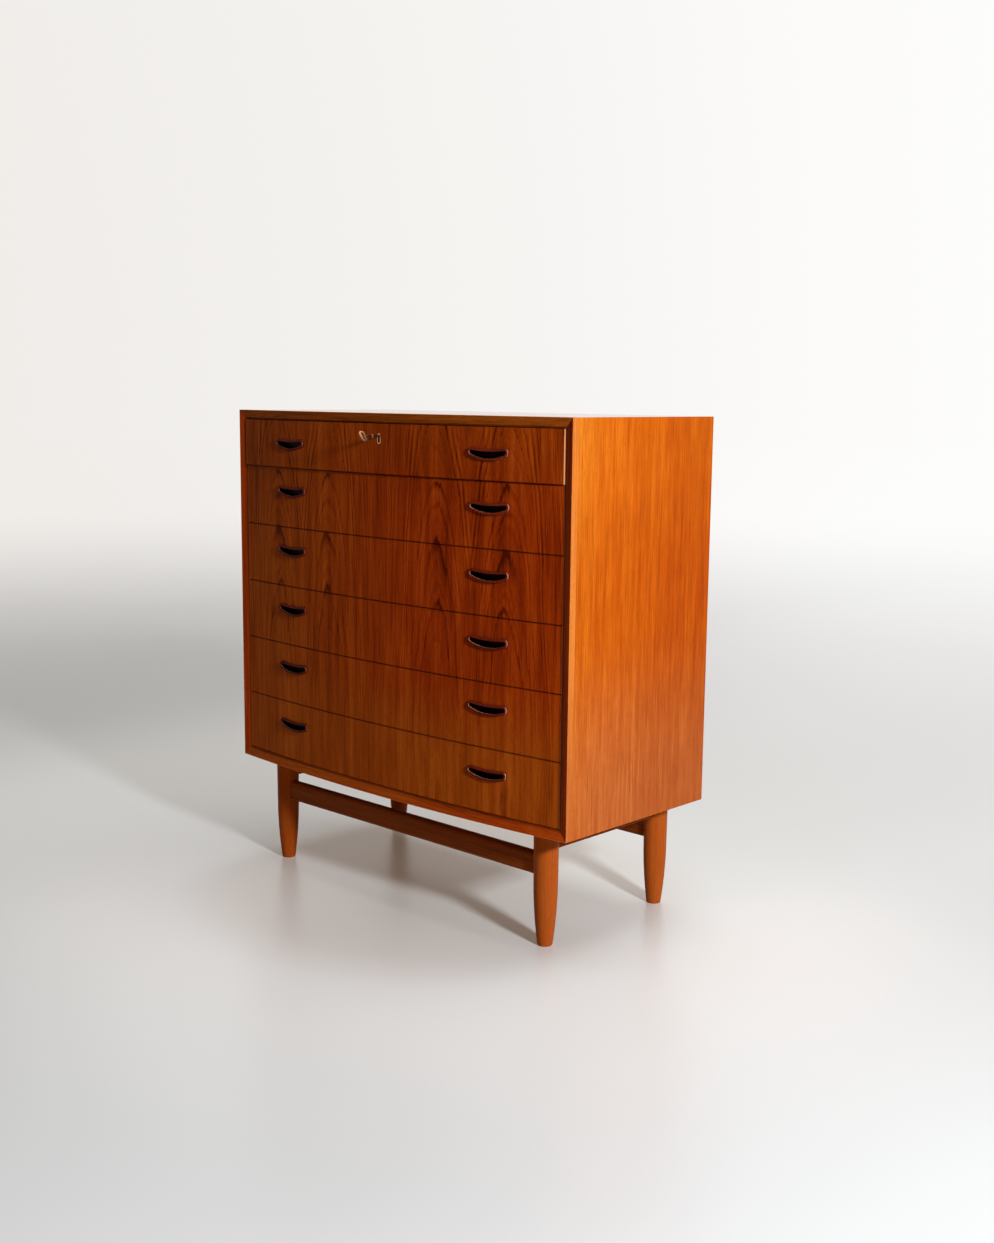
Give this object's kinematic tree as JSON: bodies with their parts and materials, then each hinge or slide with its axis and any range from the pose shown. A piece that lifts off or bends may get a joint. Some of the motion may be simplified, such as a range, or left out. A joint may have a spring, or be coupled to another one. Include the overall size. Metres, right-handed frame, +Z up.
{
  "type": "chest of drawers",
  "caption": "Bow-front teak chest of drawers on turned, tapered legs with a stretcher frame, carved mouth-shaped pulls and a lock with its key in the top drawer.",
  "frame": {"origin": "on the floor, at the middle of the overall width and depth (the depth includes the key)", "axes": "+X to the right along the front, +Y from the front to the back, +Z up"},
  "size_m": [0.95, 0.4906, 0.995],
  "materials": {
    "teak_front": "oiled veneer, dark reddish brown",
    "teak_case": "oiled veneer, warm orange brown",
    "teak_solid": "oiled solid wood",
    "teak_pull": "oiled solid wood, carved",
    "drawer_wood": "pale sanded solid wood",
    "plywood": "thin plywood, satin",
    "runner_wood": "waxed hardwood",
    "brass": "aged satin",
    "lock_steel": "dull plated",
    "screw_steel": "dull"
  },
  "bodies": {
    "case": {"case_top": "teak_case", "case_bottom": "teak_case", "case_side_left": "teak_case", "case_side_right": "teak_case", "front_edging": "teak_solid", "back_panel": "plywood", "runners_left": "runner_wood", "runners_right": "runner_wood", "runner_pins": "screw_steel", "back_panel_screws": "screw_steel", "frame_screws": "screw_steel", "leg_front_left": "teak_solid", "leg_front_right": "teak_solid", "leg_back_left": "teak_solid", "leg_back_right": "teak_solid", "stretcher_front": "teak_solid", "stretcher_back": "teak_solid", "side_rail_left": "teak_solid", "side_rail_right": "teak_solid"},
    "drawer_1": {"drawer_1_front": "teak_front", "drawer_1_side_left": "drawer_wood", "drawer_1_side_right": "drawer_wood", "drawer_1_back": "drawer_wood", "drawer_1_bottom": "plywood", "drawer_1_pulls": "teak_pull", "lock_case": "lock_steel", "lock_screws": "screw_steel", "escutcheon": "brass"},
    "drawer_2": {"drawer_2_front": "teak_front", "drawer_2_side_left": "drawer_wood", "drawer_2_side_right": "drawer_wood", "drawer_2_back": "drawer_wood", "drawer_2_bottom": "plywood", "drawer_2_pulls": "teak_pull"},
    "drawer_3": {"drawer_3_front": "teak_front", "drawer_3_side_left": "drawer_wood", "drawer_3_side_right": "drawer_wood", "drawer_3_back": "drawer_wood", "drawer_3_bottom": "plywood", "drawer_3_pulls": "teak_pull"},
    "drawer_4": {"drawer_4_front": "teak_front", "drawer_4_side_left": "drawer_wood", "drawer_4_side_right": "drawer_wood", "drawer_4_back": "drawer_wood", "drawer_4_bottom": "plywood", "drawer_4_pulls": "teak_pull"},
    "drawer_5": {"drawer_5_front": "teak_front", "drawer_5_side_left": "drawer_wood", "drawer_5_side_right": "drawer_wood", "drawer_5_back": "drawer_wood", "drawer_5_bottom": "plywood", "drawer_5_pulls": "teak_pull"},
    "drawer_6": {"drawer_6_front": "teak_front", "drawer_6_side_left": "drawer_wood", "drawer_6_side_right": "drawer_wood", "drawer_6_back": "drawer_wood", "drawer_6_bottom": "plywood", "drawer_6_pulls": "teak_pull"},
    "lock_bolt": {"lock_bolt": "brass"},
    "key": {"key": "brass"}
  },
  "joints": [
    {"name": "drawer_1_slide", "type": "slide", "parent": "case", "child": "drawer_1", "axis": [0, -1, 0], "range_m": [-0.004, 0.3]},
    {"name": "drawer_2_slide", "type": "slide", "parent": "case", "child": "drawer_2", "axis": [0, -1, 0], "range_m": [0, 0.3]},
    {"name": "drawer_3_slide", "type": "slide", "parent": "case", "child": "drawer_3", "axis": [0, -1, 0], "range_m": [0, 0.3]},
    {"name": "drawer_4_slide", "type": "slide", "parent": "case", "child": "drawer_4", "axis": [0, -1, 0], "range_m": [0, 0.3]},
    {"name": "drawer_5_slide", "type": "slide", "parent": "case", "child": "drawer_5", "axis": [0, -1, 0], "range_m": [0, 0.3]},
    {"name": "drawer_6_slide", "type": "slide", "parent": "case", "child": "drawer_6", "axis": [0, -1, 0], "range_m": [0, 0.3]},
    {"name": "key_turn", "type": "hinge", "parent": "drawer_1", "child": "key", "pos_m": [0, -0.19775, 0.9507], "axis": [0, -1, 0], "range_deg": [-40, 140]},
    {"name": "bolt_slide", "type": "slide", "parent": "drawer_1", "child": "lock_bolt", "axis": [0, 0, 1], "range_m": [-0.0024, 0.0081]}
  ],
  "couplings": [
    {"joint": "bolt_slide", "follows": "key_turn", "m_per_rad": 0.003274}
  ]
}
